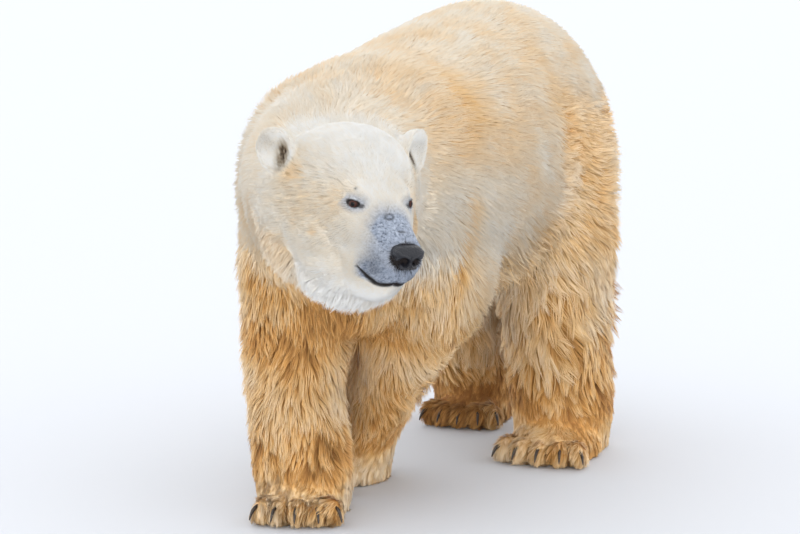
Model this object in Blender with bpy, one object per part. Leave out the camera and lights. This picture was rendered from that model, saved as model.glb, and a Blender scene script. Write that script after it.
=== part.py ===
"""A polar bear, life size, walking with its head turned to its left.

Metres, +Z up. The bear stands on the floor, z = 0, and faces -Y, so its left side is +X.
The flesh is modelled out to the tips of the coat: lofted tubes and ellipsoids are fused by a voxel
remesh, softened, thinned and set flat on the floor, and thin slabs then part the body into head,
neck, trunk, tail, legs and paws. Ears, eyes, nose pad and claws are solids of their own.
"""

import math

import bmesh
import bpy
from mathutils import Matrix, Vector

# Driving dimensions.
GAP = 0.0004  # clearance between neighbouring solids
VOXEL = 0.008  # size of the remesh that fuses the shapes
BODY_TRIANGLES = 4500  # what the fused body is thinned to
BODY_SOFTENING = 22  # rounds of smoothing of the trunk and legs
FINAL_SOFTENING = 4  # and of the whole, with the head and paws
SHARP_ANGLE = math.radians(45)  # edges sharper than this stay crisp
SQUARENESS = 2.2  # exponent of a ring's outline, 2 being an ellipse

# The trunk from rump to chest: centre, half width, height above the centre and depth below it.
TRUNK = (
    ((-0.045, 0.790, 0.690), 0.050, 0.060, 0.060),
    ((-0.045, 0.770, 0.700), 0.125, 0.150, 0.150),
    ((-0.045, 0.700, 0.715), 0.195, 0.235, 0.210),
    ((-0.045, 0.590, 0.725), 0.232, 0.308, 0.225),
    ((-0.045, 0.450, 0.725), 0.250, 0.337, 0.270),
    ((-0.042, 0.250, 0.715), 0.270, 0.315, 0.290),
    ((-0.042, 0.060, 0.695), 0.270, 0.295, 0.265),
    ((-0.045, -0.100, 0.690), 0.252, 0.285, 0.250),
    ((-0.040, -0.220, 0.690), 0.210, 0.230, 0.235),
    ((-0.025, -0.310, 0.680), 0.150, 0.150, 0.170),
    ((-0.020, -0.340, 0.680), 0.050, 0.060, 0.060),
)

# The neck from between the shoulders to the back of the skull, in the same terms.
NECK = (
    ((-0.050, -0.020, 0.730), 0.080, 0.090, 0.090),
    ((-0.045, -0.060, 0.735), 0.190, 0.210, 0.200),
    ((-0.025, -0.190, 0.745), 0.200, 0.200, 0.220),
    ((0.025, -0.320, 0.745), 0.185, 0.160, 0.215),
    ((0.100, -0.420, 0.735), 0.160, 0.125, 0.190),
    ((0.160, -0.470, 0.730), 0.080, 0.080, 0.090),
)

# Shoulders, upper arms, brisket, thighs and rump: centre and half sizes.
MASSES = (
    ((-0.190, -0.090, 0.690), (0.130, 0.175, 0.240)),
    ((0.100, -0.020, 0.690), (0.125, 0.175, 0.235)),
    ((-0.195, -0.110, 0.540), (0.122, 0.150, 0.200)),
    ((0.098, 0.000, 0.540), (0.120, 0.150, 0.190)),
    ((-0.050, -0.110, 0.500), (0.120, 0.150, 0.115)),
    ((-0.190, 0.640, 0.640), (0.125, 0.200, 0.270)),
    ((0.075, 0.570, 0.640), (0.130, 0.200, 0.290)),
)

# The legs from the trunk to the wrist or hock: centre, half width, depth before and behind.
LEGS = {
    "fore_leg_right": (
        ((-0.180, -0.110, 0.620), 0.070, 0.080, 0.080),
        ((-0.185, -0.120, 0.560), 0.120, 0.130, 0.140),
        ((-0.178, -0.138, 0.420), 0.122, 0.120, 0.130),
        ((-0.170, -0.157, 0.280), 0.112, 0.108, 0.115),
        ((-0.156, -0.160, 0.150), 0.105, 0.100, 0.105),
        ((-0.148, -0.157, 0.060), 0.104, 0.100, 0.100),
        ((-0.143, -0.157, -0.020), 0.092, 0.090, 0.090),
    ),
    "fore_leg_left": (
        ((0.085, -0.020, 0.620), 0.070, 0.080, 0.080),
        ((0.082, -0.005, 0.560), 0.125, 0.130, 0.140),
        ((0.022, 0.030, 0.420), 0.118, 0.118, 0.130),
        ((-0.076, 0.075, 0.280), 0.100, 0.102, 0.110),
        ((-0.165, 0.115, 0.150), 0.090, 0.095, 0.100),
        ((-0.200, 0.130, 0.060), 0.090, 0.095, 0.098),
        ((-0.205, 0.135, -0.020), 0.085, 0.088, 0.088),
    ),
    "hind_leg_right": (
        ((-0.175, 0.630, 0.640), 0.070, 0.100, 0.100),
        ((-0.180, 0.630, 0.560), 0.130, 0.180, 0.170),
        ((-0.190, 0.655, 0.420), 0.128, 0.160, 0.160),
        ((-0.215, 0.715, 0.280), 0.118, 0.130, 0.130),
        ((-0.246, 0.800, 0.160), 0.106, 0.118, 0.115),
        ((-0.258, 0.825, 0.060), 0.100, 0.115, 0.110),
        ((-0.262, 0.830, -0.020), 0.090, 0.100, 0.100),
    ),
    "hind_leg_left": (
        ((0.070, 0.580, 0.640), 0.070, 0.100, 0.100),
        ((0.075, 0.580, 0.560), 0.130, 0.180, 0.170),
        ((0.075, 0.575, 0.420), 0.128, 0.160, 0.165),
        ((0.075, 0.600, 0.280), 0.122, 0.140, 0.145),
        ((0.078, 0.625, 0.160), 0.116, 0.130, 0.130),
        ((0.080, 0.630, 0.060), 0.112, 0.122, 0.120),
        ((0.080, 0.630, -0.020), 0.100, 0.105, 0.105),
    ),
}

# The paws: centre on the floor, heading away from -Y to the bear's left, half width and length.
PAWS = {
    "fore_paw_right": ((-0.132, -0.182), math.radians(24), 0.102, 0.122),
    "fore_paw_left": ((-0.205, 0.115), math.radians(-10), 0.098, 0.118),
    "hind_paw_right": ((-0.247, 0.800), math.radians(13), 0.104, 0.142),
    "hind_paw_left": ((0.098, 0.562), math.radians(10), 0.118, 0.145),
}
SOLE_SHARES = (0.86, 0.92)  # of a paw's half length and half width that its rounded body takes
SOLE_MIDDLE = 0.030
SOLE_HEIGHT = 0.073  # above that middle
TOES = 5
TOE_LINE = (0.30, 0.52, 1.35)  # shares of the paw's size: where the fan starts, its reach and spread
TOE_FAN = math.radians(62)  # from the outermost toe's heading to the innermost's
TOE_HEIGHT = 0.032  # of a toe's middle above the floor
TOE_HALF_SIZES = (0.045, 0.0235, 0.036)

# The head: the point between the eyes, and how the head is turned from facing -Y.
HEAD_AT = Vector((0.261, -0.524, 0.749))
HEAD_TURN = math.radians(53.5)  # to the bear's left
HEAD_DROP = math.radians(8.5)  # nose down
HEAD_TILT = math.radians(-3.5)  # left side down

# Skull and muzzle in the head's own axes (forward, left, up): centre, half width, height and depth.
SKULL = (
    ((-0.290, 0.000, -0.045), 0.050, 0.040, 0.050),
    ((-0.275, 0.000, -0.045), 0.110, 0.095, 0.110),
    ((-0.215, 0.000, -0.042), 0.142, 0.138, 0.140),
    ((-0.150, 0.000, -0.038), 0.137, 0.148, 0.144),
    ((-0.085, 0.000, -0.042), 0.112, 0.130, 0.124),
    ((-0.035, 0.000, -0.048), 0.088, 0.092, 0.102),
    ((0.010, 0.000, -0.055), 0.067, 0.070, 0.090),
    ((0.045, 0.000, -0.062), 0.053, 0.057, 0.078),
    ((0.085, 0.000, -0.068), 0.046, 0.049, 0.066),
    ((0.118, 0.000, -0.073), 0.042, 0.044, 0.050),
    ((0.140, 0.000, -0.076), 0.032, 0.034, 0.034),
    ((0.150, 0.000, -0.077), 0.016, 0.016, 0.016),
)

# Soft masses of the head, left ones mirrored to the right: brow, lip, cheek and ear root.
HEAD_MASSES = (
    ((-0.030, 0.042, 0.014), (0.048, 0.026, 0.021)),
    ((0.084, 0.016, -0.104), (0.045, 0.032, 0.028)),
    ((-0.140, 0.076, -0.088), (0.098, 0.060, 0.080)),
    ((-0.220, 0.105, 0.015), (0.045, 0.036, 0.036)),
)
JAW = ((-0.020, 0.0, -0.122), (0.120, 0.062, 0.074))
RUFF = ((-0.110, 0.0, -0.150), (0.120, 0.116, 0.092))

EYE_RADIUS = 0.0135
EYE_AT = (-0.004, 0.053, -0.003)  # the left one, in the head's axes
NOSE_AT = (0.142, 0.0, -0.065)
NOSE_HALF_SIZES = (0.022, 0.033, 0.025)
EAR_AT = (-0.190, 0.152, 0.050)
EAR_HALF_WIDTH = 0.040
EAR_HALF_HEIGHT = 0.048
EAR_DEPTH = 0.042  # of the cup's back behind its rim
EAR_HOLLOW = 0.026  # of its front behind its rim
EAR_ROLL = 0.010  # how far the rolled rim stands forward
EAR_FACING = (0.80, 0.56, 0.10)  # of the left one
EAR_RISE = (-0.15, 0.50, 0.86)

# The tail: centre, half width, height and depth.
TAIL = (
    ((-0.045, 0.750, 0.735), 0.030, 0.025, 0.025),
    ((-0.045, 0.815, 0.710), 0.042, 0.034, 0.034),
    ((-0.045, 0.860, 0.662), 0.042, 0.030, 0.032),
    ((-0.045, 0.880, 0.605), 0.030, 0.020, 0.022),
    ((-0.045, 0.883, 0.585), 0.010, 0.008, 0.008),
)

# A claw in its toe's axes (forward, left, up): centre, half width, height and depth.
CLAW = (
    ((0.020, 0.0, 0.0150), 0.0055, 0.0060, 0.0060),
    ((0.040, 0.0, 0.0110), 0.0055, 0.0065, 0.0065),
    ((0.053, 0.0, -0.0020), 0.0040, 0.0050, 0.0050),
    ((0.060, 0.0, -0.0180), 0.0015, 0.0020, 0.0020),
)

# Where the body is parted, in order: from which node, the node that the cut's normal points to, a
# point on the cut, its normal and its half size.
CUTS = (
    ("trunk", "head", (0.070, -0.385, 0.735), (0.80, -0.58, 0.0), 0.21),
    ("trunk", "neck", (-0.030, -0.215, 0.730), (0.0, -0.914, 0.406), 0.27),
    ("trunk", "tail", (-0.045, 0.842, 0.668), (0.0, 1.0, 0.0), 0.095),
    ("trunk", "fore_leg_right", (-0.050, -0.060, 0.385), (0.0, 0.0, -1.0), 0.30),
    ("trunk", "hind_leg_right", (-0.195, 0.660, 0.385), (0.0, 0.0, -1.0), 0.20),
    ("trunk", "hind_leg_left", (0.075, 0.580, 0.385), (0.0, 0.0, -1.0), 0.19),
    ("fore_leg_right", "fore_leg_left", (-0.082, -0.051, 0.400), (0.60, 0.80, 0.0), 0.105),
    ("fore_leg_right", "fore_paw_right", (-0.145, -0.160, 0.105), (0.0, 0.0, -1.0), 0.20),
    ("fore_leg_left", "fore_paw_left", (-0.190, 0.125, 0.105), (0.0, 0.0, -1.0), 0.20),
    ("hind_leg_right", "hind_paw_right", (-0.255, 0.810, 0.105), (0.0, 0.0, -1.0), 0.20),
    ("hind_leg_left", "hind_paw_left", (0.080, 0.620, 0.105), (0.0, 0.0, -1.0), 0.20),
)

# Plain colours (linear) and roughnesses by kind of node.
LOOKS = {
    "fur": ((0.78, 0.62, 0.40), 0.9),
    "ear": ((0.80, 0.72, 0.58), 0.9),
    "eye": ((0.04, 0.018, 0.010), 0.1),
    "nose": ((0.015, 0.015, 0.017), 0.4),
    "claw": ((0.030, 0.024, 0.020), 0.4),
}

AHEAD = Vector((0, -1, 0))
LEFT = Vector((1, 0, 0))
UP = Vector((0, 0, 1))


def add_object(name, bm):
    """A new object from a bmesh, its faces turned outwards."""
    bmesh.ops.recalc_face_normals(bm, faces=bm.faces)
    mesh = bpy.data.meshes.new(name)
    bm.to_mesh(mesh)
    bm.free()
    thing = bpy.data.objects.new(name, mesh)
    bpy.context.scene.collection.objects.link(thing)
    return thing


def spline(values, steps):
    """The values eased through by a Catmull-Rom curve, in the given steps between two of them."""
    eased = []
    last = len(values) - 1
    for i in range(last):
        a, b = values[max(i - 1, 0)], values[i]
        c, d = values[i + 1], values[min(i + 2, last)]
        for k in range(steps):
            t = k / steps
            curve = 2 * b + (c - a) * t + (2 * a - 5 * b + 4 * c - d) * t * t
            eased.append((curve + (3 * b - a - 3 * c + d) * t * t * t) * 0.5)
    return eased + [values[last]]


def loft(name, stations, side, top, sides=24, steps=5):
    """A closed tube through the stations; its width lies along side and its height towards top."""
    points = spline([Vector(station[0]) for station in stations], steps)
    widths, heights, depths = (spline([station[k] for station in stations], steps) for k in (1, 2, 3))
    bm = bmesh.new()
    rings = []
    for i, point in enumerate(points):
        along = (points[min(i + 1, len(points) - 1)] - points[max(i - 1, 0)]).normalized()
        across = (side - along * side.dot(along)).normalized()
        rise = along.cross(across)
        if rise.dot(top) < 0:
            rise = -rise
        ring = []
        for k in range(sides):
            turn = 2 * math.pi * k / sides
            c, s = math.cos(turn), math.sin(turn)
            reach = (abs(c) ** SQUARENESS + abs(s) ** SQUARENESS) ** (-1 / SQUARENESS)
            tall = heights[i] if s > 0 else depths[i]
            ring.append(bm.verts.new(point + across * (c * reach * widths[i]) + rise * (s * reach * tall)))
        rings.append(ring)
    for low, high in zip(rings, rings[1:]):
        for k in range(sides):
            after = (k + 1) % sides
            bm.faces.new((low[k], low[after], high[after], high[k]))
    bm.faces.new(rings[0])
    bm.faces.new(rings[-1])
    return add_object(name, bm)


def ellipsoid(name, centre, half_sizes, turn=None, detail=3):
    """An ellipsoid; turn is the matrix of its axes."""
    bm = bmesh.new()
    place = Matrix.Translation(centre) @ (turn or Matrix()) @ Matrix.Diagonal((*half_sizes, 1))
    bmesh.ops.create_icosphere(bm, subdivisions=detail, radius=1, matrix=place)
    return add_object(name, bm)


def apply_modifier(thing, kind, **settings):
    """Add one modifier, set it and bake it into the mesh."""
    modifier = thing.modifiers.new(kind.title(), kind)
    for key, value in settings.items():
        setattr(modifier, key, value)
    bpy.ops.object.select_all(action="DESELECT")
    bpy.context.view_layer.objects.active = thing
    thing.select_set(True)
    bpy.ops.object.modifier_apply(modifier=modifier.name)


def fuse(shapes, softening):
    """Join overlapping shapes into one closed skin, and smooth it so many times."""
    bpy.ops.object.select_all(action="DESELECT")
    for shape in shapes:
        shape.select_set(True)
    bpy.context.view_layer.objects.active = shapes[0]
    bpy.ops.object.join()
    apply_modifier(shapes[0], "REMESH", mode="VOXEL", voxel_size=VOXEL)
    apply_modifier(shapes[0], "SMOOTH", factor=0.5, iterations=softening)
    return shapes[0]


def cut_away(thing, cutter):
    """Take the cutter's volume out of the thing, and drop the cutter."""
    apply_modifier(thing, "BOOLEAN", operation="DIFFERENCE", solver="EXACT", object=cutter)
    bpy.data.objects.remove(cutter)


def swollen(thing, by):
    """A copy of the thing grown outwards all over."""
    bm = bmesh.new()
    bm.from_mesh(thing.data)
    bm.normal_update()
    moves = [vert.normal * by for vert in bm.verts]
    for vert, move in zip(bm.verts, moves):
        vert.co += move
    return add_object(thing.name + "_swollen", bm)


def mirrored(place, side):
    """A point or direction of the left side, or its mirror image when side is -1."""
    return Vector((place[0], place[1] * side, place[2]))


def middle(thing):
    return sum((vert.co for vert in thing.data.vertices), Vector()) / len(thing.data.vertices)


def part_off(source, name, at, normal, reach):
    """Cut a thin slab through the source, and name the piece that the normal points to."""
    normal = Vector(normal).normalized()
    bm = bmesh.new()
    turn = normal.to_track_quat("Z", "Y").to_matrix().to_4x4()
    place = Matrix.Translation(at) @ turn @ Matrix.Diagonal((2 * reach, 2 * reach, GAP, 1))
    bmesh.ops.create_cube(bm, size=1, matrix=place)
    cut_away(bpy.data.objects[source], add_object("slab", bm))
    bpy.ops.object.mode_set(mode="EDIT")
    bpy.ops.mesh.separate(type="LOOSE")
    bpy.ops.object.mode_set(mode="OBJECT")
    pieces = sorted(bpy.context.selected_objects, key=lambda piece: middle(piece).dot(normal))
    if len(pieces) != 2:
        raise RuntimeError(f"cutting off {name} left {len(pieces)} pieces")
    pieces[1].name = name
    pieces[0].name = source


def ear(name, side):
    """A hollow cup on the skull, facing forwards and outwards; side is 1 for the left one."""
    facing = mirrored(EAR_FACING, side).normalized()
    across = mirrored(EAR_RISE, side).cross(facing).normalized()
    axes = Matrix((facing, across, facing.cross(across))).transposed().to_4x4()
    bm = bmesh.new()
    upright = Matrix.Rotation(math.pi / 2, 4, "Y")
    bmesh.ops.create_uvsphere(bm, u_segments=14, v_segments=10, radius=1, matrix=upright)
    for vert in bm.verts:
        c = vert.co.x
        deep = EAR_DEPTH * c if c < 0 else 4 * EAR_ROLL * c * (1 - c) - EAR_HOLLOW * c * c
        vert.co = (deep, EAR_HALF_WIDTH * vert.co.y, EAR_HALF_HEIGHT * vert.co.z)
    bm.transform(HEAD @ Matrix.Translation(mirrored(EAR_AT, side)) @ axes)
    return add_object(name, bm)


def paw_axes(centre, heading):
    """The matrix of a paw's axes: forward, left and up, from its centre on the floor."""
    return Matrix.Translation((*centre, 0)) @ Matrix.Rotation(heading - math.pi / 2, 4, "Z")


def toe_axes(half_width, half_length, k):
    """The matrix of toe k's axes in its paw's, the toes being spread as a fan."""
    swing = TOE_FAN * (k / (TOES - 1) - 0.5)
    start, reach, spread = TOE_LINE
    ahead = half_length * (start + reach * math.cos(swing))
    spot = Vector((ahead, half_width * spread * math.sin(swing), TOE_HEIGHT))
    return Matrix.Translation(spot) @ Matrix.Rotation(swing, 4, "Z")


for leftover in list(bpy.data.objects):
    bpy.data.objects.remove(leftover)

# The head's axes: forward, left and up.
HEAD = (
    Matrix.Translation(HEAD_AT)
    @ Matrix.Rotation(HEAD_TURN - math.pi / 2, 4, "Z")
    @ Matrix.Rotation(HEAD_DROP, 4, "Y")
    @ Matrix.Rotation(HEAD_TILT, 4, "X")
)

# The trunk, neck and legs, fused and well softened.
shapes = [loft("trunk", TRUNK, LEFT, UP), loft("neck", NECK, LEFT, UP)]
for i, (centre, half_sizes) in enumerate(MASSES):
    shapes.append(ellipsoid(f"mass_{i}", centre, half_sizes))
for name, stations in LEGS.items():
    shapes.append(loft(name, stations, LEFT, AHEAD))
body = fuse(shapes, BODY_SOFTENING)

# The head.
skull = loft("skull", SKULL, Vector((0, 1, 0)), UP)
head_shapes = [skull, ellipsoid("jaw", *JAW), ellipsoid("ruff", *RUFF)]
for i, (centre, half_sizes) in enumerate(HEAD_MASSES):
    for side in (1, -1):
        head_shapes.append(ellipsoid(f"head_mass_{i}", mirrored(centre, side), half_sizes))
for shape in head_shapes:
    shape.data.transform(HEAD)

# The tail, and the paws with their toes.
shapes = [body, *head_shapes, loft("tail_root", TAIL, LEFT, UP)]
for name, (centre, heading, half_width, half_length) in PAWS.items():
    half_sizes = (half_length * SOLE_SHARES[0], half_width * SOLE_SHARES[1], SOLE_HEIGHT)
    sole = ellipsoid(name + "_sole", (0, 0, SOLE_MIDDLE), half_sizes)
    sole.data.transform(paw_axes(centre, heading))
    shapes.append(sole)
    for k in range(TOES):
        toe = ellipsoid(f"{name}_toe_{k}", (0, 0, 0), TOE_HALF_SIZES)
        toe.data.transform(paw_axes(centre, heading) @ toe_axes(half_width, half_length, k))
        shapes.append(toe)
body = fuse(shapes, FINAL_SOFTENING)
apply_modifier(body, "TRIANGULATE")
apply_modifier(body, "DECIMATE", ratio=BODY_TRIANGLES / len(body.data.polygons))

# Flat soles: what the soft shapes reach below the floor is cut off.
bm = bmesh.new()
bmesh.ops.create_cube(bm, size=4, matrix=Matrix.Translation((0, 0, -2)))
cut_away(body, add_object("under_floor", bm))

# Parting the body into its nodes.
body.name = "trunk"
for source, name, at, normal, reach in CUTS:
    part_off(source, name, at, normal, reach)

# Ears, trimmed where they meet the skull.
head = bpy.data.objects["head"]
for name, side in (("ear_left", 1), ("ear_right", -1)):
    cut_away(ear(name, side), swollen(head, GAP))

# Eyes and nose pad, in sockets of the head.
for name, side in (("eye_left", 1), ("eye_right", -1)):
    eye = ellipsoid(name, HEAD @ mirrored(EYE_AT, side), (EYE_RADIUS, EYE_RADIUS, EYE_RADIUS), detail=2)
    cut_away(head, swollen(eye, GAP))
nose = ellipsoid("nose", HEAD @ Vector(NOSE_AT), NOSE_HALF_SIZES, HEAD.to_3x3().to_4x4(), detail=2)
cut_away(head, swollen(nose, GAP))

# Claws, in sockets of the paws; numbered from the bear's right.
for name, (centre, heading, half_width, half_length) in PAWS.items():
    for k in range(TOES):
        claw = loft(f"{name}_claw_{k + 1}", CLAW, Vector((0, 1, 0)), UP, sides=6, steps=1)
        claw.data.transform(paw_axes(centre, heading) @ toe_axes(half_width, half_length, k))
        cut_away(bpy.data.objects[name], swollen(claw, GAP))

# The origin goes to the middle of the bear's box, on the floor.
nodes = list(bpy.data.objects)
corners = [vert.co for node in nodes for vert in node.data.vertices]
low = [min(corner[k] for corner in corners) for k in range(3)]
high = [max(corner[k] for corner in corners) for k in range(3)]
offset = Vector((-(low[0] + high[0]) / 2, -(low[1] + high[1]) / 2, -low[2]))
for node in nodes:
    node.data.transform(Matrix.Translation(offset))

# One material for each node.
for node in nodes:
    kinds = [kind for kind in LOOKS if kind in node.name] or ["fur"]
    colour, roughness = LOOKS[kinds[0]]
    material = bpy.data.materials.new(node.name)
    material.use_nodes = True
    shader = material.node_tree.nodes["Principled BSDF"]
    shader.inputs["Base Color"].default_value = (*colour, 1)
    shader.inputs["Roughness"].default_value = roughness
    node.data.materials.clear()
    node.data.materials.append(material)
    node.data.shade_smooth()
    node.data.set_sharp_from_angle(angle=SHARP_ANGLE)
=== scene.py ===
"""A life-size polar bear: its looks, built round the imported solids.

Metres, +Z up; the bear faces -Y and its left side is +X. One skin takes the place of the solids of
flesh, inside them by the coat's depth, and the coat grows out to them as solid tufts. Each section
below is one piece or group of like pieces.
"""

import math

import bmesh
import bpy
import numpy as np
from mathutils import Matrix, Vector
from mathutils.bvhtree import BVHTree
from mathutils.kdtree import KDTree


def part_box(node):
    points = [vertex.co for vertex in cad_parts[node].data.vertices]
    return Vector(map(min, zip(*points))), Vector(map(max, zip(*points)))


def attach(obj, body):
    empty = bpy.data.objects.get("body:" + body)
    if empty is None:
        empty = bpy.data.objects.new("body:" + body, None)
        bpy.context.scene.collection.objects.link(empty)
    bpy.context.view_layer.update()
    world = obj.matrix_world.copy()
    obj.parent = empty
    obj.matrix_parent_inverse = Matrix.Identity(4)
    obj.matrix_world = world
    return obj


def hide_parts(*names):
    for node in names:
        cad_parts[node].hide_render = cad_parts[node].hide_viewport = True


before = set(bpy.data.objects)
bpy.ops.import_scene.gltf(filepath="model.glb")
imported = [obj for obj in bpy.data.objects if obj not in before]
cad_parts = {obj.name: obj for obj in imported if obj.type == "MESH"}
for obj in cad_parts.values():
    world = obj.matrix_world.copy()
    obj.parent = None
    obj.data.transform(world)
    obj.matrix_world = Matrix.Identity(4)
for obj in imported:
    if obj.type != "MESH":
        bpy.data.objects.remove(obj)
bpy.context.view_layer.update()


# Skin: one closed hide over the whole bear, black-grey and loose, with the flesh under it. It is made
# from copies of the flesh solids, fused, softened, and drawn in by the depth of the coat. Its thickness
# isn't modelled, as no edge of it shows.
SIDES = (("left", 1), ("right", -1))
FLESH = ["trunk", "neck", "head", "tail", "ear_left", "ear_right"]
FLESH += [f"{row}_{limb}_{side}" for row in ("fore", "hind") for limb in ("leg", "paw") for side, sign in SIDES]
SKIN_VOXEL = 0.0055
SWELL = 0.0010  # closes the thin gaps between the solids
SOFTENING = 30  # rounds of smoothing of trunk and legs
FINE_SOFTENING = 5  # and of the head, ears and paws
KEPT_SHARE = 0.42  # of the triangles of trunk and legs, which need fewer than head and paws
LOWEST_SKIN = 0.0015  # above the floor


def choose(*things):
    """Select these objects alone, and make the first one active."""
    bpy.ops.object.select_all(action="DESELECT")
    for thing in things:
        thing.select_set(True)
    bpy.context.view_layer.objects.active = things[0]


def apply_modifier(thing, kind, **settings):
    """Add one modifier, set it and apply it."""
    choose(thing)
    modifier = thing.modifiers.new(kind.title(), kind)
    for key, value in settings.items():
        setattr(modifier, key, value)
    bpy.ops.object.modifier_apply(modifier=modifier.name)


def merged_copy(node, swell=0.0):
    """A new object with a CAD node's mesh, its doubled vertices merged, grown by swell."""
    bm = bmesh.new()
    bm.from_mesh(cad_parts[node].data)
    bmesh.ops.remove_doubles(bm, verts=bm.verts, dist=1e-5)
    bm.normal_update()
    for vert, move in [(vert, vert.normal * swell) for vert in bm.verts]:
        vert.co += move
    mesh = bpy.data.meshes.new(node + "_copy")
    bm.to_mesh(mesh)
    bm.free()
    mesh.materials.clear()
    thing = bpy.data.objects.new(node + "_copy", mesh)
    bpy.context.scene.collection.objects.link(thing)
    return thing


def middle_of(node):
    low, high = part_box(node)
    return (low + high) / 2


def vertex_rows(mesh, key):
    """Each vertex's place ("co") or normal ("normal"), one row each."""
    rows = np.empty(len(mesh.vertices) * 3)
    mesh.vertices.foreach_get(key, rows)
    return rows.reshape(-1, 3)


def corners_of(mesh):
    """The vertices of each triangle of a mesh, one row each."""
    corners = np.empty(len(mesh.polygons) * 3, int)
    mesh.polygons.foreach_get("vertices", corners)
    return corners.reshape(-1, 3)


def put_places(mesh, where):
    mesh.vertices.foreach_set("co", where.ravel())
    mesh.update()


def unit(rows):
    return rows / np.maximum(np.linalg.norm(rows, axis=-1, keepdims=True), 1e-9)


def distance(where, place):
    """How far each of these places is from one place."""
    return np.linalg.norm(where - place, axis=1)


def ramp(value, start, end):
    """0 at start, 1 at end, eased between them; start may be the larger."""
    t = np.clip((value - start) / (end - start), 0, 1)
    return t * t * (3 - 2 * t)


def peak(value, at, spread):
    """1 where the value is at its middle, fading to 0 over the spread on each side."""
    return np.exp(-(((value - at) / spread) ** 2))


def close_to(where, place, full, none):
    """1 within the first distance of a place, 0 beyond the second, eased between them."""
    return 1 - ramp(distance(where, place), full, none)


def mix(a, b, share):
    """a where the share is 0, b where it is 1."""
    share = np.asarray(share)
    if np.ndim(b) > 1 or np.ndim(a) > 1:
        share = share[:, None]
    return a + (b - a) * share


# The head's own axes, forward, left and up, from its eyes and nose pad.
NOSE_DROP = math.radians(23.0)  # of the nose pad below the line ahead of the eyes
eyes_middle = (middle_of("eye_left") + middle_of("eye_right")) / 2
head_left = (middle_of("eye_left") - middle_of("eye_right")).normalized()
to_nose = (middle_of("nose") - eyes_middle).normalized()
head_ahead = Matrix.Rotation(-NOSE_DROP, 3, head_left) @ to_nose
head_ahead = (head_ahead - head_left * head_ahead.dot(head_left)).normalized()
HEAD_AXES = np.array([head_ahead, head_left, head_ahead.cross(head_left)])
HEAD_AT = np.array(eyes_middle) - np.array((-0.004, 0.0, -0.003)) @ HEAD_AXES
HEAD_MIDDLE = np.array((-0.08, 0, -0.05))  # in those axes, and so is the nose pad's middle
NOSE_AT = np.array((0.142, 0.0, -0.065))
JAW_SLOPE = 0.35  # of the line where jaw meets ruff
EARS = {side: np.array(middle_of("ear_" + side)) for side, sign in SIDES}


def in_head(where):
    """Places in the head's axes: forward, left and up from the point between the eyes."""
    return (where - HEAD_AT) @ HEAD_AXES.T


def above_jaw(x, z):
    """Height in the head's axes above the sloping line of the jaw."""
    return z + JAW_SLOPE * (x + 0.10)


skin = merged_copy(FLESH[0], SWELL)
fused = [merged_copy(node, SWELL) for node in FLESH[1:] + ["eye_left", "eye_right", "nose"]]
choose(skin, *fused)
bpy.ops.object.join()
skin.name = "skin"
apply_modifier(skin, "REMESH", mode="VOXEL", voxel_size=SKIN_VOXEL)

where = vertex_rows(skin.data, "co")
headness = close_to(in_head(where), (-0.06, 0, -0.05), 0.22, 0.30)
pawness = ramp(where[:, 2], 0.17, 0.10)
fine = np.maximum(headness, pawness)
for name, weights, rounds in (("body", 1 - fine, SOFTENING), ("fine", fine, FINE_SOFTENING)):
    group = skin.vertex_groups.new(name=name)
    for step in range(1, 6):
        group.add([int(i) for i in np.flatnonzero(np.round(weights * 5) == step)], step / 5, "REPLACE")
    apply_modifier(skin, "SMOOTH", factor=0.6, iterations=rounds, vertex_group=name)

# Draw the skin in by the coat's depth, evened out so that no step shows.
BACK_DEPTH, MORE_AT_LEGS, PAW_DEPTH, EAR_DEPTH = 0.012, 0.012, 0.007, 0.0022
CROWN_DEPTH, LESS_AT_SNOUT, MORE_AT_RUFF = 0.0045, 0.0018, 0.013


def coat_depth(where):
    """How far the skin lies inside the coat's tips, in metres."""
    local = in_head(where)
    x, y, z = local.T
    height = where[:, 2]
    depth = BACK_DEPTH + MORE_AT_LEGS * ramp(height, 0.85, 0.45)
    depth = mix(depth, PAW_DEPTH, ramp(height, 0.26, 0.09))
    ruff = ramp(above_jaw(x, z), -0.13, -0.20)
    face = CROWN_DEPTH - LESS_AT_SNOUT * ramp(x, -0.12, 0.03) + MORE_AT_RUFF * ruff * ramp(x, 0.08, -0.06)
    depth = mix(depth, face, close_to(local, HEAD_MIDDLE, 0.20, 0.30))
    for at in EARS.values():
        depth = mix(depth, EAR_DEPTH, close_to(where, at, 0.040, 0.060))
    return depth


edges = np.empty(len(skin.data.edges) * 2, int)
skin.data.edges.foreach_get("vertices", edges)
edges = edges.reshape(-1, 2)
edge_starts = np.concatenate([edges[:, 0], edges[:, 1]])
edge_ends = np.concatenate([edges[:, 1], edges[:, 0]])
neighbours = np.bincount(edge_starts, minlength=len(where))


def evened(values, rounds):
    """Values at the skin's vertices, each round averaged with its neighbours'."""
    for _ in range(rounds):
        values = 0.5 * values + 0.5 * np.bincount(edge_starts, values[edge_ends], len(values)) / neighbours
    return values


where = vertex_rows(skin.data, "co")
depth = evened(coat_depth(where), 12)
inward = np.stack([evened(column, 10) for column in vertex_rows(skin.data, "normal").T], axis=1)
where = where - unit(inward) * depth[:, None]
where[:, 2] = np.maximum(where[:, 2], LOWEST_SKIN)
put_places(skin.data, where)
skin.data.attributes.new("depth", "FLOAT", "POINT").data.foreach_set("value", depth.astype(np.float32))

coarse = skin.vertex_groups.new(name="coarse")
coarse.add([int(i) for i in np.flatnonzero(1 - fine > 0.5)], 1.0, "REPLACE")
apply_modifier(skin, "TRIANGULATE")
apply_modifier(skin, "DECIMATE", ratio=KEPT_SHARE, vertex_group="coarse", vertex_group_factor=1.0)
skin.vertex_groups.clear()

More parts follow.
